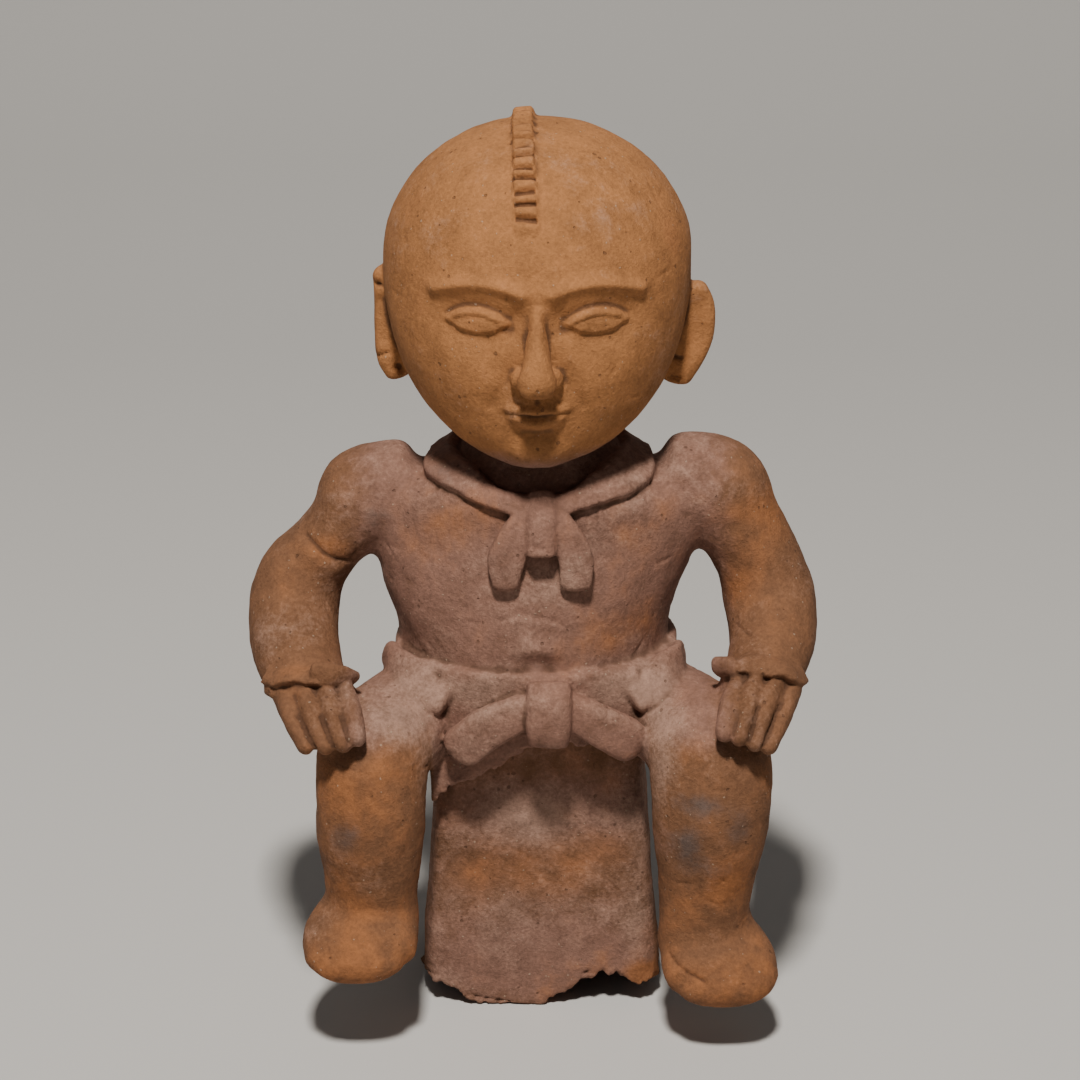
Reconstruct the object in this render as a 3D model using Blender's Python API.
"""Seated figure of fired clay on its own box seat, one hollow piece that stands on the seat's rim.

Metres, +Z up. The figure faces -Y and +X is the viewer's right. Its pose and proportions are
shares of its height, in thousandths. Each body form is a closed tube through elliptical
stations (x, y, z, half width, half depth). The forms are fused, carved with soft strokes,
thinned to facets, then hollowed and broken below.
"""
import bmesh
import bpy
import numpy as np
from mathutils import Vector
from mathutils.bvhtree import BVHTree

# Sizes that are set by themselves, in metres
FIGURE_HEIGHT = 0.44
CLAY_WALL = 0.008
SEAT_ROOF_HEIGHT = 0.112
CAVITY_CORNER = 0.010
CREST_HEIGHT = 0.0045
CREST_NOTCH_PITCH = 0.0072
CREST_NOTCH_DEPTH = 0.0020
CREST_SINK = 0.0030
FINGER_THICKNESS = 0.0098
COLLAR_THICKNESS = 0.0050
CUFF_THICKNESS = 0.0036

# Fineness of the modelling: grid sizes in metres, then counts
CORE_VOXEL = 0.0034
SKIN_VOXEL = 0.0021
CORE_SMOOTH_PASSES = 7
SKIN_SMOOTH_PASSES = 2
BODY_FACETS = 7400
TUBE_SIDES = 24
TUBE_STEPS = 4

CLAY_COLOUR = (0.36, 0.17, 0.095, 1.0)
CLAY_ROUGHNESS = 0.9
SHARPEST_SMOOTH_EDGE = np.radians(40)

SHARE = FIGURE_HEIGHT / 1000
ACROSS = Vector((1, 0, 0))
UPWARD = Vector((0, 0, 1))

# Ends of tubes, as a share of the end's radius: cut flat, worn, or rounded like a bean
CUT_END = 0.05
WORN_END = 0.35
BEAN_END = 1.7

# Trunk, neck and head: level rings from the seat upwards
TRUNK = [
    (-2, 10, 336, 116, 82), (-3, 6, 374, 146, 110), (-7, 4, 410, 148, 114),
    (-8, 3, 440, 148, 115), (-9, 4, 466, 156, 113), (-9, 5, 492, 164, 111),
    (-4, 6, 530, 174, 107), (0, 7, 566, 182, 100), (1, 4, 594, 170, 97),
    (1, 2, 614, 134, 88), (0, 4, 632, 96, 76), (-1, 8, 656, 76, 62), (-2, 4, 720, 72, 62),
]
HEAD = [
    (-3, -72, 656, 40, 36), (-3, -60, 668, 70, 64), (-3, -42, 690, 102, 94),
    (-3, -22, 722, 131, 121), (-3, -6, 762, 150, 141), (-3, 5, 804, 160, 154),
    (-3, 11, 848, 162, 160), (-3, 15, 890, 156, 154), (-3, 17, 930, 134, 134),
    (-3, 18, 958, 106, 106), (-3, 18, 978, 71, 72), (-3, 18, 988, 36, 36), (-3, 18, 991, 8, 8),
]
SKULL_RADIUS = 160
HEAD_END = 0.2

# Limbs: tubes along the bone, with their width across the body
LEFT_ARM = [
    (-140, 12, 596, 48, 50), (-188, 12, 579, 53, 56), (-208, 10, 552, 43, 50),
    (-236, 8, 520, 41, 48), (-260, 3, 490, 48, 52), (-269, -8, 458, 50, 54), (-265, -52, 427, 49, 46),
    (-250, -90, 404, 43, 41), (-240, -112, 394, 43, 40), (-237, -124, 390, 45, 40),
]
RIGHT_ARM = [
    (140, 12, 600, 50, 54), (190, 12, 588, 57, 57), (212, 10, 554, 48, 51),
    (236, 6, 512, 47, 49), (251, -4, 466, 52, 54), (251, -48, 434, 48, 47),
    (241, -86, 414, 43, 42), (235, -108, 406, 43, 41), (232, -120, 401, 45, 41),
]
LEFT_HAND = [(-240, -104, 386, 38, 22), (-232, -140, 378, 36, 13), (-221, -162, 368, 28, 8)]
RIGHT_HAND = [(236, -102, 402, 38, 22), (229, -140, 393, 36, 13), (219, -162, 381, 28, 8)]
LEFT_LEG = [
    (-78, 8, 344, 54, 50), (-124, -38, 350, 60, 54), (-160, -88, 346, 62, 55),
    (-178, -124, 334, 61, 57), (-181, -141, 300, 60, 53), (-183, -141, 250, 58, 51),
    (-183, -138, 205, 53, 47), (-184, -135, 172, 51, 46), (-186, -136, 142, 55, 48),
]
RIGHT_LEG = [
    (78, 8, 344, 54, 50), (126, -38, 350, 60, 54), (164, -88, 346, 64, 55),
    (182, -124, 334, 66, 57), (184, -141, 300, 66, 53), (183, -141, 250, 62, 51),
    (181, -136, 195, 54, 47), (180, -131, 150, 50, 46), (183, -132, 112, 54, 48),
]
LEFT_FOOT = [
    (-187, -104, 130, 44, 34), (-191, -136, 136, 59, 42), (-195, -166, 132, 64, 38),
    (-197, -188, 122, 61, 29), (-196, -200, 116, 50, 21),
]
RIGHT_FOOT = [
    (186, -98, 96, 46, 36), (191, -130, 101, 58, 43), (195, -156, 97, 63, 39),
    (200, -176, 87, 62, 31), (201, -188, 81, 53, 22),
]
LEFT_EAR = [
    (-160, 16, 824, 17, 15), (-163, 16, 800, 13, 14), (-163, 15, 770, 14, 13),
    (-158, 14, 740, 18, 13), (-150, 13, 722, 17, 11),
]
RIGHT_EAR = [
    (162, 16, 808, 17, 13), (166, 16, 790, 20, 14), (161, 15, 762, 24, 13),
    (150, 14, 736, 24, 13), (143, 13, 716, 20, 11),
]

# Seat: level rings with square corners, flared a little to the rim
SEAT = [
    (2, 14, -26, 134, 99), (2, 14, 50, 131, 98), (0, 13, 150, 124, 95),
    (-1, 12, 260, 117, 92), (-1, 11, 346, 114, 90),
]
SEAT_SQUARENESS = 9
SEAT_END = 0.1
BROKEN_RIM = [
    (-160, 41), (-126, 36), (-108, 25), (-92, 19), (-83, 8), (-73, 1), (-50, -1), (-32, 1),
    (0, -1), (22, 10), (38, 24), (54, 36), (70, 41), (92, 39), (108, 24), (124, 27), (160, 38),
]
BREAK_RUN_BACK = 90
BREAK_OVERCUT = 3
CUTTER_REACH = 60

# Waist cloth: belt rings, side flaps, and the apron as columns (x, top, broken lower edge)
BELT = [(-4, 2, 352, 146, 110), (-4, 2, 380, 150, 117), (-4, 2, 408, 154, 121), (-4, 2, 421, 154, 121)]
BELT_SQUARENESS = 2.3
LEFT_FLAP = [
    (-164, -28, 409, 14, 8), (-152, -66, 405, 24, 8), (-134, -92, 397, 23, 8), (-109, -107, 387, 16, 9),
]
RIGHT_FLAP = [
    (152, -28, 411, 16, 8), (147, -62, 407, 24, 8), (131, -88, 400, 23, 8), (107, -106, 390, 17, 9),
]
FLAP_ACROSS = Vector((0, -0.65, -0.76))
APRON = [
    (-118, 300, 262), (-112, 352, 266), (-105, 418, 272), (-98, 418, 282), (-88, 418, 289),
    (-76, 418, 292), (-62, 418, 300), (-43, 418, 312), (-28, 418, 324), (-10, 418, 337),
    (20, 418, 339), (60, 418, 338), (90, 418, 341), (105, 418, 342), (111, 380, 345),
]
APRON_BACK = -70
APRON_FRONT = -119
APRON_CURVE = 20 / 112 ** 2
APRON_SQUARENESS = 7
BOW_KNOT = [
    (9, -120, 414, 22, 13), (9, -128, 396, 24, 17), (9, -131, 372, 24, 17), (9, -128, 352, 22, 13),
]
BOW_KNOT_SQUARENESS = 3.4
LEFT_LOBE = [
    (-4, -124, 387, 18, 11), (-30, -126, 379, 21, 12), (-56, -126, 365, 23, 12), (-81, -123, 344, 24, 12),
]
RIGHT_LOBE = [
    (22, -124, 387, 18, 11), (50, -126, 376, 21, 12), (72, -124, 363, 22, 12), (93, -120, 350, 23, 12),
]
SLAB_SQUARENESS = 2.8

# Collar: centre line and half width round the neck, from the knot and back to it
COLLAR = [
    (-8, -104, 610, 10), (-32, -94, 611, 11), (-56, -84, 616, 13), (-84, -62, 629, 18),
    (-106, -36, 638, 21), (-114, -6, 648, 20), (-104, 34, 655, 15), (-66, 68, 657, 13),
    (0, 82, 658, 13), (66, 68, 658, 13), (104, 34, 656, 16), (112, -4, 648, 22),
    (102, -38, 637, 25), (80, -66, 627, 22), (52, -86, 619, 15), (28, -96, 612, 11),
    (8, -104, 610, 10),
]
COLLAR_KNOT = [
    (1, -86, 620, 13, 10), (2, -97, 602, 14, 12), (2, -102, 580, 15, 13), (2, -106, 558, 15, 12),
]
COLLAR_KNOT_SQUARENESS = 3.2
LEFT_END = [
    (-8, -94, 604, 11, 8), (-27, -100, 578, 15, 9), (-36, -103, 550, 19, 9), (-37, -105, 526, 15, 8),
]
RIGHT_END = [
    (8, -94, 604, 11, 8), (27, -100, 580, 15, 9), (38, -103, 552, 19, 9), (38, -105, 526, 17, 8),
]

# Cuffs: centre line and half width of the ragged lip over each hand
LEFT_CUFF = [
    (-284, -94, 406, 7), (-280, -116, 406, 9), (-266, -130, 414, 7), (-248, -136, 421, 6),
    (-226, -136, 426, 6), (-206, -132, 425, 8), (-193, -118, 427, 10), (-191, -100, 430, 8),
]
RIGHT_CUFF = [
    (185, -98, 424, 9), (189, -118, 426, 11), (205, -130, 441, 7), (230, -132, 443, 6),
    (252, -130, 432, 6), (268, -118, 416, 8), (275, -98, 406, 9),
]

# Fingers: base, middle and tip of each, from left to right
LEFT_FINGERS = [
    [(-274, -120, 400), (-262, -156, 389), (-246, -180, 369)],
    [(-251, -126, 409), (-239, -162, 398), (-224, -186, 372)],
    [(-227, -128, 414), (-214, -164, 402), (-202, -187, 377)],
    [(-204, -126, 414), (-194, -160, 404), (-186, -183, 382)],
]
RIGHT_FINGERS = [
    [(208, -124, 421), (196, -160, 412), (188, -184, 390)],
    [(230, -128, 427), (215, -166, 415), (203, -189, 387)],
    [(251, -128, 422), (236, -166, 408), (219, -188, 377)],
    [(269, -122, 411), (255, -158, 396), (238, -182, 370)],
]

# Face of a plain calm kind, set out on the head by halves and thirds of its height
CHIN, CROWN = 656, 989
FACE_MIDDLE = -3
EYE_LINE = (CHIN + CROWN) / 2
NOSE_BASE = EYE_LINE - 62
MOUTH_LINE = NOSE_BASE - 34
EYE_OFFSET = 62
EYE_HALF = 30
MOUTH_HALF = 31
NOSE = [
    (-3, -142, 836, 9, 12), (-3, -153, 812, 11, 16), (-3, -165, 786, 15, 20),
    (-3, -171, 771, 20, 20), (-3, -168, 764, 19, 16),
]
NOSE_WING = [(19, -144, 768, 10, 9), (19, -154, 767, 9, 9)]

# Strokes of the modelling tool: width of the bell, and how far it lifts or sinks the clay
EYE_SOCKET, EYEBALL = (22, -7), (10, 7)
UPPER_LID, LOWER_LID, LID_FOLD = (3.6, 4.0), (3.4, 2.6), (3, -1.5)
BROW_RIDGE, BRIDGE_HOLLOW = (10, 5.5), (11, -5)
UPPER_LIP, LOWER_LIP, LIP_LINE = (6, 6), (7, 7), (3.2, -6)
CHIN_SWELL, FINGER_GROOVE = (15, 5), (2.8, -4)
NAVEL, NAVEL_RIM = (8, -5), (7, 2.5)
CARVED_FROM = -50
CARVED_RUN = 20

# Crest: a strip over the crown, as an arc about the middle of the skull
CREST_CENTRE = (-16, 16, 848)
CREST_HALF_WIDTH = 13
CREST_START, CREST_END = 24, 168
STEPS_PER_NOTCH = 4

NODE_NAME = "seated_figure"


def clear_scene():
    for item in list(bpy.data.objects):
        bpy.data.objects.remove(item, do_unlink=True)


def through(stations, steps):
    """Points of a smooth curve through the stations, with steps points between two of them."""
    points = np.array(stations, dtype=float)
    ends = np.vstack([2 * points[0] - points[1], points, 2 * points[-1] - points[-2]])
    rows = []
    for index in range(len(points) - 1):
        before, start, stop, after = ends[index:index + 4]
        for t in np.arange(steps) / steps:
            rows.append(0.5 * (2 * start + (stop - before) * t
                               + (2 * before - 5 * start + 4 * stop - after) * t ** 2
                               + (3 * start - before - 3 * stop + after) * t ** 3))
    rows.append(points[-1])
    return np.array(rows)


def rounded_ends(rows, roundness):
    """Adds shrinking stations beyond both ends, as a share of the end's own radius."""
    result = list(rows)
    for end, inner in ((0, 1), (-1, -2)):
        last = rows[end]
        outward = last[:3] - rows[inner][:3]
        outward = outward / np.linalg.norm(outward)
        reach = roundness * min(last[3:5])
        caps = []
        for angle in np.radians((30, 55, 75)):
            cap = last.copy()
            cap[:3] += outward * reach * np.sin(angle)
            cap[3:5] *= np.cos(angle)
            caps.append(cap)
        result = caps[::-1] + result if end == 0 else result + caps
    return np.array(result)


def mesh_object(name, bm):
    mesh = bpy.data.meshes.new(name)
    bm.normal_update()
    bm.to_mesh(mesh)
    bm.free()
    item = bpy.data.objects.new(name, mesh)
    bpy.context.collection.objects.link(item)
    return item


def skin_rings(name, rings):
    """A closed skin over rings of points, each end drawn together to a pole."""
    bm = bmesh.new()
    loops = [[bm.verts.new(point) for point in ring] for ring in rings]
    for lower, upper in zip(loops, loops[1:]):
        for index in range(len(lower)):
            following = (index + 1) % len(lower)
            bm.faces.new((lower[index], lower[following], upper[following], upper[index]))
    for loop, ring in ((loops[0][::-1], rings[0]), (loops[-1], rings[-1])):
        pole = bm.verts.new(np.mean(ring, axis=0))
        for index in range(len(loop)):
            bm.faces.new((loop[index], loop[(index + 1) % len(loop)], pole))
    bmesh.ops.recalc_face_normals(bm, faces=bm.faces)
    return mesh_object(name, bm)


def tube(name, stations, along=None, width_axis=ACROSS, squareness=2, roundness=0.9, steps=TUBE_STEPS):
    """A tube through elliptical stations; along fixes the direction that its rings face."""
    rows = through(stations, steps)
    rows = rounded_ends(rows, roundness) * SHARE
    angles = np.linspace(0, 2 * np.pi, TUBE_SIDES, endpoint=False)
    power = 2 / squareness
    wide = np.sign(np.cos(angles)) * np.abs(np.cos(angles)) ** power
    deep = np.sign(np.sin(angles)) * np.abs(np.sin(angles)) ** power
    headings = np.gradient(rows[:, :3], axis=0)
    rings = []
    for row, heading in zip(rows, headings):
        facing = Vector(along or heading).normalized()
        width = (width_axis - facing * width_axis.dot(facing)).normalized()
        depth = facing.cross(width)
        rings.append([Vector(row[:3]) + width * row[3] * w + depth * row[4] * d
                      for w, d in zip(wide, deep)])
    return skin_rings(name, rings)


def joined(name, items):
    """One mesh object that holds all the given ones, which are removed."""
    bm = bmesh.new()
    for item in items:
        bm.from_mesh(item.data)
        bpy.data.objects.remove(item, do_unlink=True)
    return mesh_object(name, bm)


def baked(item):
    """The object with its modifiers worked into its mesh."""
    bpy.context.view_layer.update()
    evaluated = item.evaluated_get(bpy.context.evaluated_depsgraph_get())
    mesh = bpy.data.meshes.new_from_object(evaluated)
    item.modifiers.clear()
    item.data = mesh
    return item


def fused(name, items, voxel, smooth_passes):
    """The given closed forms melted into one skin, with its welds smoothed."""
    item = joined(name, items)
    remesh = item.modifiers.new("fuse", "REMESH")
    remesh.mode = "VOXEL"
    remesh.voxel_size = voxel
    smooth = item.modifiers.new("weld", "SMOOTH")
    smooth.factor = 0.5
    smooth.iterations = round(smooth_passes)
    return baked(item)


def tree_of(item):
    """Search tree over an object's faces."""
    bm = bmesh.new()
    bm.from_mesh(item.data)
    tree = BVHTree.FromBMesh(bm)
    bm.free()
    return tree


def draped_strip(name, surface, path, thickness, edge=0.25):
    """A flat strip of clay that lies on the surface along path: x, y, z, half width."""
    rows = through(path, TUBE_STEPS) * SHARE
    headings = np.gradient(rows[:, :3], axis=0)
    across = np.linspace(-1, 1, 9)
    height = thickness * np.clip((1 - np.abs(across)) / edge, 0, 1) ** 0.5
    sink = 0.6 * thickness + SHARE
    rings = []
    for row, heading in zip(rows, headings):
        point, normal, _, _ = surface.find_nearest(Vector(row[:3]))
        side = Vector(heading).cross(normal).normalized()
        top, under = [], []
        for share, rise in zip(across, height):
            foot, lift, _, _ = surface.find_nearest(point + side * row[3] * share)
            top.append(foot + lift * rise)
            under.append(foot - lift * sink)
        rings.append(top + under[::-1])
    return skin_rings(name, rings)


def shoulders():
    """Trunk and arms as one skin, the ground that the collar and the cuffs lie on."""
    forms = [tube("trunk", TRUNK, along=UPWARD)]
    forms += [tube("arm", stations, roundness=WORN_END) for stations in (LEFT_ARM, RIGHT_ARM)]
    return fused("shoulders", forms, CORE_VOXEL, CORE_SMOOTH_PASSES)


def body_core(trunk):
    """Trunk with arms, head, hands, legs and seat as one skin."""
    forms = [
        trunk,
        tube("head", HEAD, along=UPWARD, roundness=HEAD_END),
        tube("seat", SEAT, along=UPWARD, squareness=SEAT_SQUARENESS, roundness=SEAT_END),
    ]
    limbs = (LEFT_HAND, RIGHT_HAND, LEFT_LEG, RIGHT_LEG, LEFT_FOOT, RIGHT_FOOT)
    forms += [tube("limb", stations) for stations in limbs]
    return fused("core", forms, CORE_VOXEL, CORE_SMOOTH_PASSES)


def apron():
    """Front cloth as a row of upright columns from left to right, broken off below."""
    columns = []
    for x, top, low in APRON:
        front = APRON_FRONT + APRON_CURVE * x ** 2
        columns.append((x, (front + APRON_BACK) / 2, (top + low) / 2,
                        (top - low) / 2, (APRON_BACK - front) / 2))
    return tube("apron", columns, along=ACROSS, width_axis=UPWARD,
                squareness=APRON_SQUARENESS, roundness=CUT_END, steps=1)


def waist_cloth():
    """Belt, side flaps, broken apron and bow."""
    items = [
        apron(),
        tube("belt", BELT, along=UPWARD, squareness=BELT_SQUARENESS, roundness=CUT_END),
        tube("knot", BOW_KNOT, squareness=BOW_KNOT_SQUARENESS, roundness=WORN_END),
    ]
    for lobe in (LEFT_LOBE, RIGHT_LOBE):
        items.append(tube("lobe", lobe, width_axis=UPWARD, squareness=SLAB_SQUARENESS, roundness=BEAN_END))
    items += [tube("flap", flap, width_axis=FLAP_ACROSS) for flap in (LEFT_FLAP, RIGHT_FLAP)]
    return items


def neck_and_wrists(ground):
    """Collar strip with its knot and two hanging ends, and the lips of the sleeves."""
    surface = tree_of(ground)
    items = [
        draped_strip("collar", surface, COLLAR, COLLAR_THICKNESS),
        tube("collar_knot", COLLAR_KNOT, squareness=COLLAR_KNOT_SQUARENESS, roundness=CUT_END),
    ]
    items += [tube("end", end, squareness=SLAB_SQUARENESS) for end in (LEFT_END, RIGHT_END)]
    items += [draped_strip("cuff", surface, cuff, CUFF_THICKNESS) for cuff in (LEFT_CUFF, RIGHT_CUFF)]
    return items


def fingers():
    radius = FINGER_THICKNESS / 2 / SHARE
    items = []
    for path in LEFT_FINGERS + RIGHT_FINGERS:
        stations = [(*point, radius, radius * 1.1) for point in path]
        items.append(tube("finger", stations, roundness=0.6))
    return items


def nose():
    """Nose with its wings, which stands proud of the head."""
    items = [tube("nose", NOSE, roundness=WORN_END)]
    for side in (-1, 1):
        wing = [(FACE_MIDDLE + side * x, y, z, width, depth) for x, y, z, width, depth in NOSE_WING]
        items.append(tube("wing", wing))
    return items


def nearest_on_line(points, line):
    """Distance from each point to a line of joined points."""
    best = np.full(len(points), np.inf)
    for start, stop in zip(line, line[1:]):
        run = stop - start
        share = np.clip((points - start) @ run / (run @ run), 0, 1)
        best = np.minimum(best, np.linalg.norm(points - start - share[:, None] * run, axis=1))
    return best


def stroke(places, line, tool):
    """How far each place moves outwards under one stroke of the tool: a bell across the line.

    The line and the tool's width are shares; only the x and z of places and line count.
    """
    width, rise = tool
    distance = nearest_on_line(places[:, (0, 2)], np.array(line, dtype=float))
    return rise * np.exp(-(distance / width) ** 2)


def level_line(middle, half, height):
    """A short level line about a middle."""
    return [(middle - half, height), (middle + half, height)]


def eye_strokes(places, side):
    """Socket, eyeball and lids of one eye."""
    middle = FACE_MIDDLE + side * EYE_OFFSET
    spread = np.linspace(-1, 1, 9)
    arch = 1 - spread ** 2
    upper = np.column_stack([middle + spread * EYE_HALF, EYE_LINE + 11 * arch])
    lower = np.column_stack([middle + spread * EYE_HALF, EYE_LINE - 8 * arch])
    fold = np.column_stack([middle + spread * EYE_HALF * 1.15, EYE_LINE + 3 + 15 * arch])
    ball = level_line(middle, EYE_HALF / 2, EYE_LINE)
    lines = ((ball, EYE_SOCKET), (ball, EYEBALL), (upper, UPPER_LID), (lower, LOWER_LID), (fold, LID_FOLD))
    return sum(stroke(places, line, tool) for line, tool in lines)


def brow_strokes(places, side):
    """Brow ridge, and the hollow beside the bridge of the nose."""
    spread = np.linspace(0, 1, 7)
    ridge = np.column_stack([FACE_MIDDLE + side * (16 + 86 * spread),
                             EYE_LINE + 26 + 14 * np.sin(np.pi * (0.15 + 0.8 * spread))])
    inner = [(FACE_MIDDLE + side * 22, EYE_LINE + 8), (FACE_MIDDLE + side * 24, EYE_LINE - 6)]
    return stroke(places, ridge, BROW_RIDGE) + stroke(places, inner, BRIDGE_HOLLOW)


def mouth_strokes(places):
    """Closed lips: a bowed upper one, a fuller lower one and the line between them."""
    spread = np.linspace(-1, 1, 9)
    line = np.column_stack([FACE_MIDDLE + spread * MOUTH_HALF, MOUTH_LINE - 2 * np.cos(np.pi * spread)])
    upper = line + np.array((0, 7)) - np.column_stack([spread * 4, 3 * spread ** 2])
    lower = line + np.array((0, -9)) - np.column_stack([spread * 8, -4 * spread ** 2])
    lips = ((upper, UPPER_LIP), (lower, LOWER_LIP), (line, LIP_LINE))
    return sum(stroke(places, path, tool) for path, tool in lips)


def finger_strokes(places):
    """Grooves between neighbouring fingers."""
    moved = np.zeros(len(places))
    for hand in (LEFT_FINGERS, RIGHT_FINGERS):
        for one, other in zip(hand, hand[1:]):
            groove = (np.array(one) + np.array(other))[:, (0, 2)] / 2
            moved += stroke(places, groove, FINGER_GROOVE)
    return moved


def carve(item):
    """Moves the front of the skin along its normals by soft strokes: face, fingers and navel."""
    mesh = item.data
    count = len(mesh.vertices)
    coordinates = np.empty(count * 3)
    normals = np.empty(count * 3)
    mesh.vertices.foreach_get("co", coordinates)
    mesh.vertex_normals.foreach_get("vector", normals)
    coordinates = coordinates.reshape(-1, 3)
    normals = normals.reshape(-1, 3)
    places = coordinates / SHARE
    reached = np.clip((CARVED_FROM - places[:, 1]) / CARVED_RUN, 0, 1)
    facing = np.clip(-normals[:, 1] * 3, 0, 1)
    moved = mouth_strokes(places) + finger_strokes(places)
    for side in (-1, 1):
        moved += eye_strokes(places, side) + brow_strokes(places, side)
    moved += stroke(places, level_line(FACE_MIDDLE, 12, CHIN + 18), CHIN_SWELL)
    moved += stroke(places, level_line(0, 8, 440), NAVEL) + stroke(places, level_line(0, 14, 452), NAVEL_RIM)
    coordinates += normals * (moved * reached * facing * SHARE)[:, None]
    mesh.vertices.foreach_set("co", coordinates.ravel())
    mesh.update()


def crest(figure):
    """Notched strip laid over the crown, whose height dips at every notch."""
    skull = tree_of(figure)
    centre = Vector(CREST_CENTRE) * SHARE
    start, end = np.radians((CREST_START, CREST_END))
    length = (end - start) * SKULL_RADIUS * SHARE
    steps = round(length / CREST_NOTCH_PITCH) * STEPS_PER_NOTCH
    half = CREST_HALF_WIDTH * SHARE
    rings = []
    for step in range(steps + 1):
        angle = start + (end - start) * step / steps
        outward = Vector((0, -np.cos(angle), np.sin(angle)))
        seat = skull.ray_cast(centre, outward)[0]
        dip = CREST_NOTCH_DEPTH if step % STEPS_PER_NOTCH == 0 else 0
        taper = min(1, min(step, steps - step) / STEPS_PER_NOTCH + 0.4)
        top = (CREST_HEIGHT - dip) * taper
        profile = [(-1, -CREST_SINK), (-0.95, top * 0.5), (-0.5, top),
                   (0.5, top), (0.95, top * 0.5), (1, -CREST_SINK)]
        rings.append([seat + outward * rise + ACROSS * half * wide for wide, rise in profile])
    return skin_rings("crest", rings)


def seat_cavity():
    """Inside of the hollow seat, a wall inside its outer face, open below and closed at the roof."""
    wall = CLAY_WALL / SHARE
    roof = SEAT_ROOF_HEIGHT / SHARE
    outer = through(SEAT, TUBE_STEPS)
    roof_row = [np.interp(roof, outer[:, 2], outer[:, column]) for column in range(5)]
    rows = np.vstack([outer[outer[:, 2] < roof - 1], roof_row])
    rows[:, 3:5] -= wall
    rows[0, 2] -= CUTTER_REACH
    corner = CAVITY_CORNER / SHARE / rows[-1, 4]
    return tube("seat_cavity", rows, along=UPWARD, squareness=SEAT_SQUARENESS, roundness=corner, steps=1)


def break_cutter():
    """Missing clay along the front rim, dying away along the two side walls."""
    front = SEAT[0][1] - SEAT[0][4]
    inside = front + CLAY_WALL / SHARE + BREAK_OVERCUT
    rings = []
    for y, keep in ((front - CUTTER_REACH, 1), (inside, 1), (inside + BREAK_RUN_BACK, 0)):
        ring = [(x, y, z * keep - (0 if keep else BREAK_OVERCUT)) for x, z in BROKEN_RIM]
        ring += [(BROKEN_RIM[-1][0], y, -CUTTER_REACH), (BROKEN_RIM[0][0], y, -CUTTER_REACH)]
        rings.append([Vector(point) * SHARE for point in ring])
    return skin_rings("break_cutter", rings)


def floor_cutter():
    """Block below the surface that the seat stands on."""
    reach = FIGURE_HEIGHT
    bm = bmesh.new()
    bmesh.ops.create_cube(bm, size=1)
    bmesh.ops.scale(bm, vec=(2 * reach, 2 * reach, reach), verts=bm.verts)
    bmesh.ops.translate(bm, vec=(0, 0, -reach / 2), verts=bm.verts)
    return mesh_object("floor_cutter", bm)


def combine(item, other, operation):
    """Adds or cuts the other form, which is then removed."""
    boolean = item.modifiers.new(other.name, "BOOLEAN")
    boolean.operation = operation
    boolean.solver = "EXACT"
    boolean.object = other
    baked(item)
    bpy.data.objects.remove(other, do_unlink=True)


def clay_material():
    material = bpy.data.materials.new("fired_clay")
    material.use_nodes = True
    shader = material.node_tree.nodes["Principled BSDF"]
    shader.inputs["Base Color"].default_value = CLAY_COLOUR
    shader.inputs["Roughness"].default_value = CLAY_ROUGHNESS
    shader.inputs["Metallic"].default_value = 0.0
    return material


def stand_at_origin(item):
    """Places the finished figure so that its box is centred over the origin."""
    points = np.array([vertex.co for vertex in item.data.vertices])
    low, high = points.min(axis=0), points.max(axis=0)
    item.location = (-(low[0] + high[0]) / 2, -(low[1] + high[1]) / 2, -low[2])


def main():
    clear_scene()
    trunk = shoulders()
    details = neck_and_wrists(trunk) + waist_cloth() + fingers() + nose()
    core = body_core(trunk)
    details += [tube("left_ear", LEFT_EAR), tube("right_ear", RIGHT_EAR)]
    figure = fused(NODE_NAME, [core] + details, SKIN_VOXEL, SKIN_SMOOTH_PASSES)
    carve(figure)
    thin = figure.modifiers.new("facets", "DECIMATE")
    thin.ratio = BODY_FACETS / (2 * len(figure.data.polygons))
    baked(figure)
    combine(figure, crest(figure), "UNION")
    combine(figure, seat_cavity(), "DIFFERENCE")
    combine(figure, break_cutter(), "DIFFERENCE")
    combine(figure, floor_cutter(), "DIFFERENCE")
    stand_at_origin(figure)
    figure.data.materials.clear()
    figure.data.materials.append(clay_material())
    figure.data.shade_smooth()
    figure.data.set_sharp_from_angle(angle=SHARPEST_SMOOTH_EDGE)


main()
